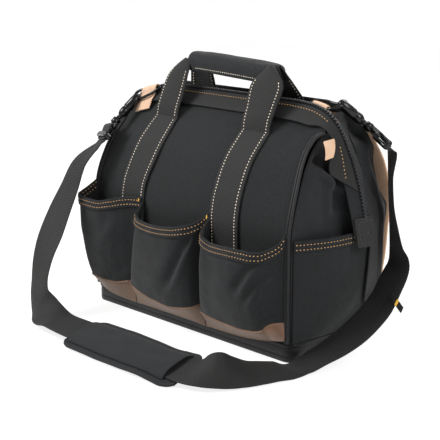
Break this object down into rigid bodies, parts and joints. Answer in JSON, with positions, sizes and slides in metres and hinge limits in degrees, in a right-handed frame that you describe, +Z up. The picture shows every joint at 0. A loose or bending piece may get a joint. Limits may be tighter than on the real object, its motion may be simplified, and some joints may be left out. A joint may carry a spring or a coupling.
{
  "type": "zip-top tool bag with shoulder strap",
  "caption": "Black zip-top tool bag with gathered front pockets, web handles, padded grip and a shoulder strap on the floor.",
  "frame": {"origin": "on the floor under the middle of the bag, the loose strap left out", "axes": "+Z up, +X along the bag to the end that the picture shows, -Y to the front with the three pockets"},
  "size_m": [0.521, 0.3837, 0.379],
  "materials": {
    "cloth": "woven, matt",
    "webbing": "ribbed web, satin",
    "coated": "coated cloth, low sheen",
    "tan": "smooth, satin",
    "taupe": "smooth, satin",
    "hardware": "gloss black",
    "zip": "satin"
  },
  "bodies": {
    "root": {"base_tray": "coated", "mouth_band_front": "webbing", "mouth_band_back": "webbing", "zip_tape": "cloth", "zip_chain": "zip", "zip_end_tab_left": "webbing", "zip_end_tab_right": "webbing", "front_panel": "cloth", "back_panel": "cloth", "piping_front_left": "coated", "piping_front_right": "coated", "piping_back_left": "coated", "piping_back_right": "coated", "end_panel_left": "cloth", "end_panel_right": "cloth", "end_pocket_left": "cloth", "end_pocket_right": "cloth", "end_pocket_hem_left": "cloth", "end_pocket_hem_right": "cloth", "front_pocket_left": "cloth", "front_pocket_middle": "cloth", "front_pocket_right": "cloth", "front_pocket_hem_left": "cloth", "front_pocket_hem_middle": "cloth", "front_pocket_hem_right": "cloth", "pocket_foot_left": "taupe", "pocket_foot_middle": "taupe", "pocket_foot_right": "taupe", "back_sheet": "tan", "back_sheet_hem": "cloth", "back_gusset_left": "cloth", "back_gusset_right": "cloth", "handle_front_left": "webbing", "handle_front_right": "webbing", "handle_back_left": "webbing", "handle_back_right": "webbing", "grip": "cloth", "end_tab_right": "tan", "ring_tab_left": "tan", "ring_tab_right": "tan", "strap_ring_left": "hardware", "strap_ring_right": "hardware", "snap_hook_left": "hardware", "snap_hook_right": "hardware", "strap_loop_left": "webbing", "strap_loop_right": "webbing", "strap_slide_left": "hardware", "strap_slide_right": "hardware", "shoulder_strap": "webbing", "pad_base": "cloth", "pad_sleeve": "cloth", "strap_tail": "webbing"}
  },
  "joints": []
}
